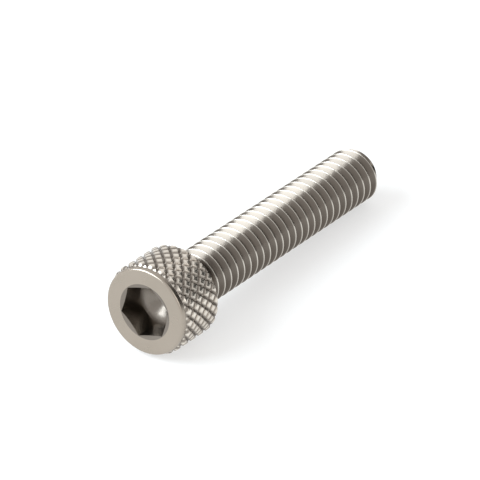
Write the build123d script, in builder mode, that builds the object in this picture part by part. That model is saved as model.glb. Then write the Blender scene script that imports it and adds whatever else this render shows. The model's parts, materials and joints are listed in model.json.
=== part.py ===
import os
from math import atan, cos, degrees, pi, radians, sin, tan

from build123d import *

# Socket head cap screw, number 8-32 by 7/8 inch, with a diamond-knurled head. One forged and
# rolled piece. Millimetres, +Z up. The screw lies at rest on the rear rim of its head and on its
# tip, with the socket facing -Y. The origin is the centre of the bearing face under the
# head, on the screw's own axis.

# Shank, plain at the size of its fine thread's crests: 32 turns an inch, right-hand
length = 22.225  # from the bearing face to the tip, 7/8 inch
thread_diameter = 4.14  # over the crests
neck_flare = 0.15  # across and along the cone where the shank meets the head
tip_chamfer = 0.42  # across and along the end of the shank
shank_root = 0.5  # by which the shank reaches into the solid part of the head

# Head
head_diameter = 6.858  # over the knurl, 0.270 inch
head_height = 4.166  # 0.164 inch
face_rounding = 0.16  # radius of the edge around the flat face
face_band = 0.42  # smooth border between the face and the knurl
rim_bevel = 0.26  # across and along the rear rim

# Diamond knurl: two opposite sets of ridges that cross each other
ridge_count = 24
ridge_angle = 45.0  # between a ridge and the screw's axis
ridge_depth = 0.17
band_clearance = 0.02  # by which the smooth border lies below the knurl's hollows
blank_allowance = 0.06  # by which the turned outline clears the ridges' crests

# Hexagon socket
socket_width = 3.572  # across the flats, 9/64 inch
socket_depth = 1.98  # to the foot of the walls
socket_turn = 43.0  # of a corner, from the side towards the ground
socket_floor_angle = 120.0  # point angle of the drilled floor
mouth_clearance = 0.08  # by which the bevel at the mouth passes the hexagon's corners
mouth_angle = 120.0  # full angle of that bevel

# Derived sizes
head_radius = head_diameter / 2
thread_radius = thread_diameter / 2
socket_corner_radius = socket_width / 2 / cos(radians(30))
mouth_radius = socket_corner_radius + mouth_clearance
mouth_depth = mouth_radius / tan(radians(mouth_angle / 2))
floor_radius = socket_width / 2
floor_depth = floor_radius / tan(radians(socket_floor_angle / 2))
blank_radius = head_radius + blank_allowance
ridge_step = 2 * pi / ridge_count
ridge_root_radius = head_radius - ridge_depth
band_radius = ridge_root_radius - band_clearance
face_radius = band_radius - face_rounding
bar_length = head_height + 2 * blank_allowance
crossing_depth = rim_bevel + blank_allowance  # from the bearing face to the crests' last crossing

# The rim rests on two neighbouring ridges and the tip on its last crest.
rest_radius = head_radius * cos(ridge_step / 2)
rest_tilt = atan((rest_radius - thread_radius) / (length - tip_chamfer + rim_bevel))

# The axis runs from the head to the tip, dipping towards the ground. On the profile plane, X is
# the radius and Y runs along the axis towards the tip.
axis_plane = Plane(origin=(0, 0, 0), x_dir=(1, 0, 0), z_dir=(0, cos(rest_tilt), -sin(rest_tilt)))
profile_plane = Plane(origin=(0, 0, 0), x_dir=(1, 0, 0), z_dir=-axis_plane.y_dir)
face_plane = axis_plane.offset(-head_height)
screw_axis = Axis((0, 0, 0), axis_plane.z_dir)


def polar_point(radius, angle):
    return (radius * cos(angle), radius * sin(angle))


def twisted_ridges(direction):
    # A bar longer than the head, whose ridges turn one way or the other about the axis
    turn = direction * bar_length * tan(radians(ridge_angle)) / head_radius
    # The two sets of ridges meet crest to crest just before the rear rim, hollow side down.
    start = -pi / 2 + ridge_step / 2 - turn * (head_height + blank_allowance - crossing_depth) / bar_length
    corners = []
    for i in range(ridge_count):
        crest = start + i * ridge_step
        corners.append(polar_point(head_radius, crest))
        corners.append(polar_point(ridge_root_radius, crest + ridge_step / 2))
    start_plane = face_plane.offset(-blank_allowance)
    with BuildSketch(start_plane) as section:
        with BuildLine():
            Polyline(*corners, close=True)
        make_face()
    along = axis_plane.z_dir * bar_length
    return Solid.extrude_linear_with_rotation(section.sketch.face(), start_plane.origin, along, degrees(turn))


right_ridges = twisted_ridges(1)
left_ridges = twisted_ridges(-1)

with BuildPart() as cap_screw:
    # Head, turned to its outline and then knurled
    with BuildSketch(profile_plane):
        with BuildLine():
            Polyline(
                (head_radius - rim_bevel, 0),
                (0, 0),
                (0, -head_height),
                (face_radius, -head_height),
            )
            RadiusArc(
                (face_radius, -head_height),
                (band_radius, -head_height + face_rounding),
                -face_rounding,
            )
            Polyline(
                (band_radius, -head_height + face_rounding),
                (band_radius, -head_height + face_band),
                (blank_radius, -head_height + face_band + blank_radius - band_radius),
                (blank_radius, -rim_bevel - blank_allowance),
                (head_radius - rim_bevel, 0),
            )
        make_face()
    revolve(axis=screw_axis)
    add(right_ridges, mode=Mode.INTERSECT)
    add(left_ridges, mode=Mode.INTERSECT)

    # Hexagon socket with a bevelled mouth and a drilled floor
    with BuildSketch(face_plane):
        RegularPolygon(radius=socket_corner_radius, side_count=6, rotation=socket_turn)
    extrude(amount=socket_depth, mode=Mode.SUBTRACT)
    with BuildSketch(profile_plane):
        with BuildLine():
            Polyline(
                (0, -head_height),
                (mouth_radius, -head_height),
                (0, -head_height + mouth_depth),
                close=True,
            )
        make_face()
    revolve(axis=screw_axis, mode=Mode.SUBTRACT)
    floor_start = -head_height + socket_depth
    with BuildSketch(profile_plane):
        with BuildLine():
            Polyline(
                (0, floor_start),
                (floor_radius, floor_start),
                (0, floor_start + floor_depth),
                close=True,
            )
        make_face()
    revolve(axis=screw_axis, mode=Mode.SUBTRACT)

    # Shank, flared where it meets the head and bevelled at its tip
    with BuildSketch(profile_plane):
        with BuildLine():
            Polyline(
                (0, -shank_root),
                (thread_radius + neck_flare, -shank_root),
                (thread_radius + neck_flare, 0),
                (thread_radius, neck_flare),
                (thread_radius, length - tip_chamfer),
                (thread_radius - tip_chamfer, length),
                (0, length),
                close=True,
            )
        make_face()
    revolve(axis=screw_axis)

cap_screw.part.label = "cap_screw"

os.makedirs("parts", exist_ok=True)
export_step(cap_screw.part, "parts/cap_screw.step")
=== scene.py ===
import json
import math
import bmesh
import bpy
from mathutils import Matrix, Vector


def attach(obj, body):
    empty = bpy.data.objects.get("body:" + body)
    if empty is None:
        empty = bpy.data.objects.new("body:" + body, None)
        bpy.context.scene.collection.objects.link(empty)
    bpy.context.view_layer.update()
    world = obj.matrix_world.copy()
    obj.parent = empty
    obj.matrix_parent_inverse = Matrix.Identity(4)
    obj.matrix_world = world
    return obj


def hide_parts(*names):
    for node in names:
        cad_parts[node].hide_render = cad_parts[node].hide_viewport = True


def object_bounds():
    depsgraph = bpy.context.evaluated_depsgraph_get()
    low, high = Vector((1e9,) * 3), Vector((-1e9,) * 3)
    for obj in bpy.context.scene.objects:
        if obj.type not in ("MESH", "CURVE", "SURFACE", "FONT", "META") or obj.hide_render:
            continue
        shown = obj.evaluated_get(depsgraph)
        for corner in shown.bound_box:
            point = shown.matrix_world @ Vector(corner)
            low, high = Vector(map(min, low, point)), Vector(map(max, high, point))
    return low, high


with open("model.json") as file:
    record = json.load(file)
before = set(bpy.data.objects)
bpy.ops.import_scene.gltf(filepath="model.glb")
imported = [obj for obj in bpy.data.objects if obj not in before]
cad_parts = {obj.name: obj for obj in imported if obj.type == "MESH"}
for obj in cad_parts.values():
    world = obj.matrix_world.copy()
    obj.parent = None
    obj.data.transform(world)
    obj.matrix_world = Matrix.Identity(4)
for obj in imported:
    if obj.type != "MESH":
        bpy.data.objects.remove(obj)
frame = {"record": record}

cadBox = [list(corner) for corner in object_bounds()]
mounts = {mount["name"]: mount for mount in frame["record"]["mounts"]}
bearingCentre = Vector(mounts["bearing_face"]["pos_m"])
axisDir = Vector(mounts["bearing_face"]["axis"]).normalized()  # from the head towards the tip
sideDir = Vector((1, 0, 0))
downDir = axisDir.cross(sideDir)  # side, down and axis make a right-handed set
mm = 0.001
mergeDistance = 0.0001 * mm

print("stage 1: frame loaded")

# the screw, every length in millimetres
screw = {
    "headRadius": 3.429,
    "headHeight": 4.166,
    "faceRounding": 0.16,
    "bandRadius": 3.235,  # smooth border between the face and the knurl
    "bandWidth": 0.42,
    "rimBevel": 0.26,
    "socketWidth": 3.572,
    "socketDepth": 1.98,
    "socketTurn": 43.0,  # degrees, of a corner from the side towards the ground
    "socketFloorAngle": 120.0,
    "mouthBevel": 0.03,  # how far the bevel passes the hexagon's corners
    "mouthAngle": 140.0,
    "neckRadius": 2.07,
    "neckStep": 0.3,  # ring on the bearing face, out from the neck
    "seamGap": 0.03,  # ring that keeps the shading flat beside an edge
    "length": 22.225,
    "tipChamfer": 0.42,
    "stepsAround": 480,
    "roundingSteps": 12,
    "floorShares": (0.05, 0.35, 0.7, 1.0),  # rings of the socket's floor, as shares of its radius
    "creaseAngle": 32.0,  # edges sharper than this are shaded as edges
}

knurl = {
    "ridges": 24,
    "depth": 0.17,
    "lineWidth": 0.2,  # share of a ridge taken by the groove beside it
    "crown": 0.35,  # share of the depth that comes from the rounding of a ridge's top
    "crossing": 0.32,  # from the bearing face to where the ridges first cross
    "highlightReach": 0.25,  # share of the depth that gets a painted highlight along the ridge tops
    "stepsAlong": 76,
}

thread = {
    "pitch": 25.4 / 32,
    "crestRadius": 2.07,
    "depth": 0.40,
    "crestFlat": 0.08,  # share of the pitch
    "rootFlat": 0.12,
    "phase": 0.35,  # turn at which the first crest starts
    "flankCurve": 0.02,  # rounds the flanks into the root and the crest
    "flankShares": (0.12, 0.5, 0.88, 1.0),  # rows of points down a flank
    "runoutStart": 0.1,  # from the bearing face, in millimetres
    "runout": 0.8,  # turns over which the groove deepens
    "highlightReach": 0.12,  # share of the depth that gets a painted highlight along the crest
    "stepsAround": 96,
}


def place(along, radius, angle):
    # a point from its distance along the axis, its radius and its angle, in millimetres
    out = sideDir * math.cos(angle) + downDir * math.sin(angle)
    return bearingCentre + axisDir * (along * mm) + out * (radius * mm)


def smooth(value):
    value = min(max(value, 0.0), 1.0)
    return value * value * (3 - 2 * value)


def hexRadius(angle):
    # distance from the axis to the socket's wall
    turned = math.radians(screw["socketTurn"])
    sector = (angle - turned) % (math.pi / 3) - math.pi / 6
    return screw["socketWidth"] / 2 / math.cos(sector)


def knurlDepth(along, angle):
    # how deep the knurl lies under the head's full radius
    step = 2 * math.pi / knurl["ridges"]
    shift = (along + knurl["crossing"]) / screw["headRadius"]
    deepest = 0.0
    for turned in (angle + shift, angle - shift):
        across = abs((turned / step) % 1 - 0.5) * 2  # 0 on a ridge's crest, 1 in the groove
        crown = knurl["crown"] * across ** 2
        groove = smooth((across - 1 + 2 * knurl["lineWidth"]) / (2 * knurl["lineWidth"]))
        deepest = max(deepest, crown + (1 - knurl["crown"]) * groove)
    return knurl["depth"] * deepest


def headOutline(along):
    # radius of the turned head before knurling
    radius = screw["bandRadius"]
    fromFace = along + screw["headHeight"]
    rounding = screw["faceRounding"]
    if fromFace < rounding:
        radius -= rounding - math.sqrt(max(rounding ** 2 - (rounding - fromFace) ** 2, 0.0))
    radius += max(fromFace - screw["bandWidth"], 0.0)
    return min(radius, screw["headRadius"], screw["headRadius"] - screw["rimBevel"] - along)


def threadRadius(along, turns):
    # radius of the thread, whose crest passes at each whole turn
    across = abs(turns % 1 - 0.5) * 2  # 0 in the root, 1 on the crest
    rise = (across - thread["rootFlat"]) / (1 - thread["rootFlat"] - thread["crestFlat"])
    rise = min(max(rise, 0.0), 1.0)
    rise -= thread["flankCurve"] * math.sin(2 * math.pi * rise)
    fade = smooth((along - thread["runoutStart"]) / (thread["pitch"] * thread["runout"]))
    radius = thread["crestRadius"] - thread["depth"] * (1 - rise) * fade
    chamfer = thread["crestRadius"] - screw["tipChamfer"] + (screw["length"] - along)
    return min(radius, chamfer)


def buildScrew():
    points = []
    paintedHighlight = []  # 1 where a painted highlight lies on the crests, 0 elsewhere
    faces = []
    slots = []
    around = screw["stepsAround"]
    first = math.radians(screw["socketTurn"])
    angles = [first + 2 * math.pi * i / around for i in range(around)]

    def ring(alongRadius):
        start = len(points)
        for angle in angles:
            along, radius = alongRadius(angle)
            points.append(place(along, radius, angle))
            paintedHighlight.append(0.0)
        return start

    def bridge(one, two, slot):
        for i in range(around):
            j = (i + 1) % around
            faces.append((one + i, one + j, two + j, two + i))
            slots.append(slot)

    # socket, from the bottom of its drilled floor out to the face
    face = -screw["headHeight"]
    apothem = screw["socketWidth"] / 2
    mouth = apothem / math.cos(math.pi / 6) + screw["mouthBevel"]
    mouthSlope = 1 / math.tan(math.radians(screw["mouthAngle"] / 2))
    coneDepth = apothem / math.tan(math.radians(screw["socketFloorAngle"] / 2))
    floor = face + screw["socketDepth"]
    centre = len(points)
    points.append(place(floor + coneDepth, 0, 0))
    paintedHighlight.append(0.0)
    rings = [
        ring(lambda a, k=k: (floor + coneDepth * (1 - k), apothem * k)) for k in screw["floorShares"]
    ]
    for i in range(around):
        faces.append((centre, rings[0] + (i + 1) % around, rings[0] + i))
        slots.append(2)
    for one, two in zip(rings, rings[1:]):
        bridge(two, one, 2)
    last = rings[-1]
    socketRings = [
        lambda a: (floor, hexRadius(a)),
        lambda a: ((floor + face) / 2, hexRadius(a)),
        lambda a: (face + (mouth - hexRadius(a)) * mouthSlope, hexRadius(a)),
    ]
    for law in socketRings:
        now = ring(law)
        bridge(now, last, 2)
        last = now
    flatRadius = screw["bandRadius"] - screw["faceRounding"]
    gap = screw["seamGap"]
    for radius in (mouth, mouth + gap, (mouth + flatRadius) / 2, flatRadius - gap):
        now = ring(lambda a, r=radius: (face, r))
        bridge(now, last, 2 if radius == mouth else 0)
        last = now

    # side of the head: the knurl fades out where the rounding and the bevel cut into it
    rounding = screw["faceRounding"]
    steps = screw["roundingSteps"]
    rows = [0.5 * (1 - math.cos(math.pi * i / steps)) * rounding for i in range(steps)]
    straight = (screw["headHeight"] - rounding) / knurl["stepsAlong"]
    rows += [rounding + straight * i for i in range(knurl["stepsAlong"] + 1)]
    for fromFace in rows:
        along = face + fromFace

        def side(angle, along=along):
            radius = headOutline(along)
            if along > screw["bandWidth"] - screw["headHeight"]:
                radius = min(radius, screw["headRadius"] - knurlDepth(along, angle))
            return along, radius

        now = ring(side)
        if fromFace > screw["bandWidth"]:
            # painted highlight: the knurl's ridge tops are lightened
            for i, angle in enumerate(angles):
                depth = knurlDepth(along, angle) / knurl["depth"]
                paintedHighlight[now + i] = smooth(1 - depth / knurl["highlightReach"])
        bridge(now, last, 0 if fromFace < screw["bandWidth"] else 1)
        last = now

    # bearing face, then down to the shank's coarser ring
    now = ring(lambda a: (0, screw["neckRadius"] + screw["neckStep"]))
    bridge(now, last, 0)
    last = now
    coarse = thread["stepsAround"]
    ratio = around // coarse
    shankAngles = [angles[i * ratio] for i in range(coarse)]
    neck = len(points)
    for angle in shankAngles:
        points.append(place(0, screw["neckRadius"], angle))
        paintedHighlight.append(0.0)
    for i in range(coarse):
        j = (i + 1) % coarse
        for k in range(ratio):
            one = last + i * ratio + k
            two = last + (i * ratio + k + 1) % around
            faces.append((two, one, neck + (i if k < ratio / 2 else j)))
            slots.append(0)
        faces.append((last + i * ratio + (ratio + 1) // 2, neck + i, neck + j))
        slots.append(0)

    # thread: the rows of its grid follow the helix, and its two ends are held at the limits
    pitch = thread["pitch"]
    crest = thread["crestFlat"]
    root = thread["rootFlat"]
    offsets = [0.0, crest / 4, crest / 2]
    flank = 0.5 - root / 2 - crest / 2
    offsets += [crest / 2 + flank * k for k in thread["flankShares"]]
    offsets += [0.5 - root / 4, 0.5]
    offsets += [1 - o for o in reversed(offsets[1:-1])]
    perTurn = len(offsets)
    turnsNeeded = int(screw["length"] / pitch) + 5
    rowsNeeded = perTurn * turnsNeeded
    grid = []
    for row in range(rowsNeeded):
        turn = row // perTurn - 2 + thread["phase"]
        level = turn + offsets[row % perTurn]
        line = []
        for i in range(coarse):
            along = pitch * (level + i / coarse)
            along = min(max(along, 0.0), screw["length"])
            turns = along / pitch - i / coarse - thread["phase"]
            line.append(len(points))
            radius = threadRadius(along, turns)
            points.append(place(along, radius, shankAngles[i]))
            below = (thread["crestRadius"] - radius) / thread["depth"]
            # painted highlight: the thread's crest is lightened, fading in near the bearing face
            paintedHighlight.append(smooth(1 - below / thread["highlightReach"]) * smooth(along / pitch))
        grid.append(line)
    for row in range(rowsNeeded - 1):
        for i in range(coarse):
            if i < coarse - 1:
                faces.append((grid[row][i], grid[row + 1][i], grid[row + 1][i + 1], grid[row][i + 1]))
            elif row + 1 + perTurn < rowsNeeded:
                wrap = row + perTurn
                faces.append((grid[row][i], grid[row + 1][i], grid[wrap + 1][0], grid[wrap][0]))
            else:
                continue
            slots.append(3)

    # flat end of the shank
    tip = screw["length"]
    centre = len(points)
    points.append(place(tip, 0, 0))
    paintedHighlight.append(0.0)
    endRings = []
    for share in (0.5, 1.0):
        endRings.append(len(points))
        for i in range(coarse):
            radius = threadRadius(tip, tip / pitch - i / coarse - thread["phase"])
            points.append(place(tip, radius * share, shankAngles[i]))
            paintedHighlight.append(0.0)
    for i in range(coarse):
        j = (i + 1) % coarse
        faces.append((centre, endRings[0] + i, endRings[0] + j))
        faces.append((endRings[0] + i, endRings[1] + i, endRings[1] + j, endRings[0] + j))
        slots += [3, 3]

    mesh = bpy.data.meshes.new("capScrew")
    mesh.from_pydata(points, [], faces)
    mesh.polygons.foreach_set("material_index", slots)
    mesh.attributes.new("paintedHighlight", "FLOAT", "POINT").data.foreach_set("value", paintedHighlight)
    shape = bmesh.new()
    shape.from_mesh(mesh)
    bmesh.ops.remove_doubles(shape, verts=shape.verts, dist=mergeDistance)
    bmesh.ops.recalc_face_normals(shape, faces=shape.faces)
    openEdges = [edge for edge in shape.edges if not edge.is_manifold]
    print("stage 2: mesh built,", len(shape.faces), "faces,", len(openEdges), "open edges")
    shape.to_mesh(mesh)
    shape.free()
    mesh.shade_smooth()
    mesh.set_sharp_from_angle(angle=math.radians(screw["creaseAngle"]))
    piece = bpy.data.objects.new("cap_screw_body", mesh)
    bpy.context.scene.collection.objects.link(piece)
    return piece


def newMaterial(name):
    material = bpy.data.materials.new(name)
    material.use_nodes = True
    nodes = material.node_tree.nodes
    nodes.clear()
    output = nodes.new("ShaderNodeOutputMaterial")
    shader = nodes.new("ShaderNodeBsdfPrincipled")
    material.node_tree.links.new(shader.outputs["BSDF"], output.inputs["Surface"])
    return material, material.node_tree, shader


def steelGrainGroup():
    # cloudy tone, painted highlight on the crests and fine grain of steel, from the object's own
    # coordinates
    group = bpy.data.node_groups.new("steelGrain", "ShaderNodeTree")
    sockets = group.interface
    values = {"Cloud Scale": 300.0, "Grain Scale": 9000.0, "Roughness": 0.25, "Spread": 0.1}
    for name, value in values.items():
        sockets.new_socket(name, in_out="INPUT", socket_type="NodeSocketFloat").default_value = value
    for name in ("Light Tone", "Dark Tone", "Highlight Tone"):
        sockets.new_socket(name, in_out="INPUT", socket_type="NodeSocketColor")
    sockets.new_socket("Tone", in_out="OUTPUT", socket_type="NodeSocketColor")
    sockets.new_socket("Roughness", in_out="OUTPUT", socket_type="NodeSocketFloat")
    sockets.new_socket("Height", in_out="OUTPUT", socket_type="NodeSocketFloat")
    nodes, links = group.nodes, group.links
    entry = nodes.new("NodeGroupInput")
    result = nodes.new("NodeGroupOutput")
    where = nodes.new("ShaderNodeTexCoord")
    cloud = nodes.new("ShaderNodeTexNoise")
    grain = nodes.new("ShaderNodeTexNoise")
    mix = nodes.new("ShaderNodeMix")
    mix.data_type = "RGBA"
    spread = nodes.new("ShaderNodeMath")
    spread.operation = "MULTIPLY_ADD"
    cloud.inputs["Detail"].default_value = 3
    grain.inputs["Detail"].default_value = 2
    for noise, scale in ((cloud, "Cloud Scale"), (grain, "Grain Scale")):
        links.new(where.outputs["Object"], noise.inputs["Vector"])
        links.new(entry.outputs[scale], noise.inputs["Scale"])
    links.new(cloud.outputs["Fac"], mix.inputs["Factor"])
    links.new(entry.outputs["Light Tone"], mix.inputs["A"])
    links.new(entry.outputs["Dark Tone"], mix.inputs["B"])
    # painted highlight: the attribute mixes a light tone over the crests
    highlightAttribute = nodes.new("ShaderNodeAttribute")
    highlightAttribute.attribute_name = "paintedHighlight"
    edge = nodes.new("ShaderNodeMix")
    edge.data_type = "RGBA"
    links.new(highlightAttribute.outputs["Fac"], edge.inputs["Factor"])
    links.new(mix.outputs["Result"], edge.inputs["A"])
    links.new(entry.outputs["Highlight Tone"], edge.inputs["B"])
    links.new(edge.outputs["Result"], result.inputs["Tone"])
    links.new(cloud.outputs["Fac"], spread.inputs[0])
    links.new(entry.outputs["Spread"], spread.inputs[1])
    links.new(entry.outputs["Roughness"], spread.inputs[2])
    links.new(spread.outputs["Value"], result.inputs["Roughness"])
    links.new(grain.outputs["Fac"], result.inputs["Height"])
    return group


def steelMaterial(name, settings, group):
    material, tree, shader = newMaterial(name)
    grain = tree.nodes.new("ShaderNodeGroup")
    grain.node_tree = group
    for socket, key in (("Light Tone", "lightTone"), ("Dark Tone", "darkTone"), ("Highlight Tone", "wornTone")):
        grain.inputs[socket].default_value = (*settings[key], 1)
    grain.inputs["Roughness"].default_value = settings["roughness"]
    grain.inputs["Spread"].default_value = settings["spread"]
    bump = tree.nodes.new("ShaderNodeBump")
    bump.inputs["Strength"].default_value = settings["grainStrength"]
    bump.inputs["Distance"].default_value = 0.01 * mm
    tree.links.new(grain.outputs["Tone"], shader.inputs["Base Color"])
    tree.links.new(grain.outputs["Roughness"], shader.inputs["Roughness"])
    tree.links.new(grain.outputs["Height"], bump.inputs["Height"])
    tree.links.new(bump.outputs["Normal"], shader.inputs["Normal"])
    shader.inputs["Metallic"].default_value = 1.0
    return material


piece = buildScrew()
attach(piece, "root")
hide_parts("cap_screw")

steels = {
    "faceSteel": {
        "lightTone": (0.415, 0.365, 0.31),
        "darkTone": (0.34, 0.297, 0.247),
        "wornTone": (0.7, 0.65, 0.57),
        "roughness": 0.22,
        "spread": 0.1,
        "grainStrength": 0.3,
    },
    # knurl steel darker than the face: painted shade over the knurl
    "knurlSteelPaintedShade": {
        "lightTone": (0.287, 0.253, 0.218),
        "darkTone": (0.196, 0.172, 0.149),
        "wornTone": (0.759, 0.701, 0.621),
        "roughness": 0.2,
        "spread": 0.1,
        "grainStrength": 0.3,
    },
    # socket steel darker than the face: painted shade inside the recess
    "socketSteelPaintedShade": {
        "lightTone": (0.26, 0.23, 0.20),
        "darkTone": (0.16, 0.14, 0.12),
        "wornTone": (0.7, 0.65, 0.57),
        "roughness": 0.2,
        "spread": 0.1,
        "grainStrength": 0.3,
    },
    # thread steel darkened below the face's tone to stand for the dark reflections on its flanks: painted
    # shade
    "threadSteelPaintedShade": {
        "lightTone": (0.165, 0.142, 0.120),
        "darkTone": (0.115, 0.099, 0.084),
        "wornTone": (0.62, 0.58, 0.52),
        "roughness": 0.19,
        "spread": 0.08,
        "grainStrength": 0.3,
    },
}
grainGroup = steelGrainGroup()
for name, settings in steels.items():
    piece.data.materials.append(steelMaterial(name, settings, grainGroup))
print("stage 3: materials ready")

studio = {
    "floorSize": 1.2,
    "floorGap": 0.00002,
    "floorTone": (0.5, 0.5, 0.495),
    "floorGlow": 0.56,
    "worldLevel": 0.75,
    "softboxes": {
        # azimuth from the camera, elevation, distance, width, height, radiance, tone
        "leftSoftbox": (-74, 38, 0.30, 0.26, 0.17, 6.6, (0.90, 1.0, 1.08)),
        "rightSoftbox": (48, 30, 0.30, 0.10, 0.14, 2.0, (1.0, 0.98, 0.95)),
    },
    "darkCards": {
        # azimuth from the camera, elevation, distance, width, height, tone
        "sideCard": (112, 22, 0.25, 0.30, 0.20, (0.03, 0.028, 0.025)),
    },
}


def addFloor():
    size = studio["floorSize"] / 2
    ground = min(corner[2] for corner in cadBox) - studio["floorGap"]
    corners = [(-size, -size, ground), (size, -size, ground), (size, size, ground), (-size, size, ground)]
    mesh = bpy.data.meshes.new("floor")
    mesh.from_pydata(corners, [], [(0, 1, 2, 3)])
    floor = bpy.data.objects.new("floor", mesh)
    bpy.context.scene.collection.objects.link(floor)
    material, tree, shader = newMaterial("paleFloor")
    shader.inputs["Base Color"].default_value = (*studio["floorTone"], 1)
    shader.inputs["Roughness"].default_value = 0.9
    shader.inputs["Emission Color"].default_value = (1, 1, 1, 1)
    rays = tree.nodes.new("ShaderNodeLightPath")
    either = tree.nodes.new("ShaderNodeMath")
    either.operation = "MAXIMUM"
    glow = tree.nodes.new("ShaderNodeMath")
    glow.operation = "MULTIPLY"
    glow.inputs[1].default_value = studio["floorGlow"]
    tree.links.new(rays.outputs["Is Camera Ray"], either.inputs[0])
    tree.links.new(rays.outputs["Is Glossy Ray"], either.inputs[1])
    tree.links.new(either.outputs["Value"], glow.inputs[0])
    tree.links.new(glow.outputs["Value"], shader.inputs["Emission Strength"])
    floor.data.materials.append(material)


def addWorld():
    world = bpy.data.worlds.new("studioWorld")
    bpy.context.scene.world = world
    world.use_nodes = True
    nodes, links = world.node_tree.nodes, world.node_tree.links
    nodes.clear()
    output = nodes.new("ShaderNodeOutputWorld")
    light = nodes.new("ShaderNodeBackground")
    rays = nodes.new("ShaderNodeLightPath")
    mix = nodes.new("ShaderNodeMix")
    either = nodes.new("ShaderNodeMath")
    either.operation = "MAXIMUM"
    links.new(rays.outputs["Is Camera Ray"], either.inputs[0])
    links.new(rays.outputs["Is Glossy Ray"], either.inputs[1])
    links.new(either.outputs["Value"], mix.inputs["Factor"])
    mix.inputs["A"].default_value = studio["worldLevel"]
    mix.inputs["B"].default_value = 1.0
    links.new(mix.outputs["Result"], light.inputs["Strength"])
    light.inputs["Color"].default_value = (1, 1, 1, 1)
    links.new(light.outputs["Background"], output.inputs["Surface"])


view = {
    "azimuth": 35.03,  # degrees, from looking along +Y towards -X
    "elevation": 31.52,
    "lens": 368.7,
    "distance": 0.33832,
    "aim": (0.003884, 0.001739, 0.004489),
}


def towards(azimuth, elevation):
    # direction out to a place; azimuth 0 is behind the camera, positive to its right
    turn = math.radians(view["azimuth"] + azimuth)
    lift = math.radians(elevation)
    return Vector((math.sin(turn) * math.cos(lift), -math.cos(turn) * math.cos(lift), math.sin(lift)))


def aimAt(item, position, target):
    item.location = position
    item.rotation_euler = (target - position).to_track_quat("-Z", "Y").to_euler()


def addCamera():
    data = bpy.data.cameras.new("camera")
    data.lens = view["lens"]
    data.sensor_width = 36
    camera = bpy.data.objects.new("camera", data)
    bpy.context.scene.collection.objects.link(camera)
    aim = Vector(view["aim"])
    aimAt(camera, aim + towards(0, view["elevation"]) * view["distance"], aim)
    bpy.context.scene.camera = camera


def addSoftbox(name, settings):
    azimuth, elevation, distance, width, height, radiance, tone = settings
    data = bpy.data.lights.new(name, "AREA")
    data.shape = "RECTANGLE"
    data.size, data.size_y = width, height
    data.energy = math.pi * width * height * radiance
    data.color = tone
    lamp = bpy.data.objects.new(name, data)
    bpy.context.scene.collection.objects.link(lamp)
    aimAt(lamp, middle + towards(azimuth, elevation) * distance, middle)


def addCard(name, settings):
    azimuth, elevation, distance, width, height, tone = settings
    mesh = bpy.data.meshes.new(name)
    w, h = width / 2, height / 2
    mesh.from_pydata([(-w, -h, 0), (w, -h, 0), (w, h, 0), (-w, h, 0)], [], [(0, 1, 2, 3)])
    card = bpy.data.objects.new(name, mesh)
    bpy.context.scene.collection.objects.link(card)
    aimAt(card, middle + towards(azimuth, elevation) * distance, middle)
    material, tree, shader = newMaterial(name + "Paper")
    shader.inputs["Base Color"].default_value = (*tone, 1)
    shader.inputs["Roughness"].default_value = 0.8
    card.data.materials.append(material)


middle = (Vector(cadBox[0]) + Vector(cadBox[1])) / 2
addFloor()
addWorld()
for name, settings in studio["softboxes"].items():
    addSoftbox(name, settings)
for name, settings in studio["darkCards"].items():
    addCard(name, settings)
addCamera()
scene = bpy.context.scene
scene.view_settings.view_transform = "Standard"
print("stage 4: studio ready")
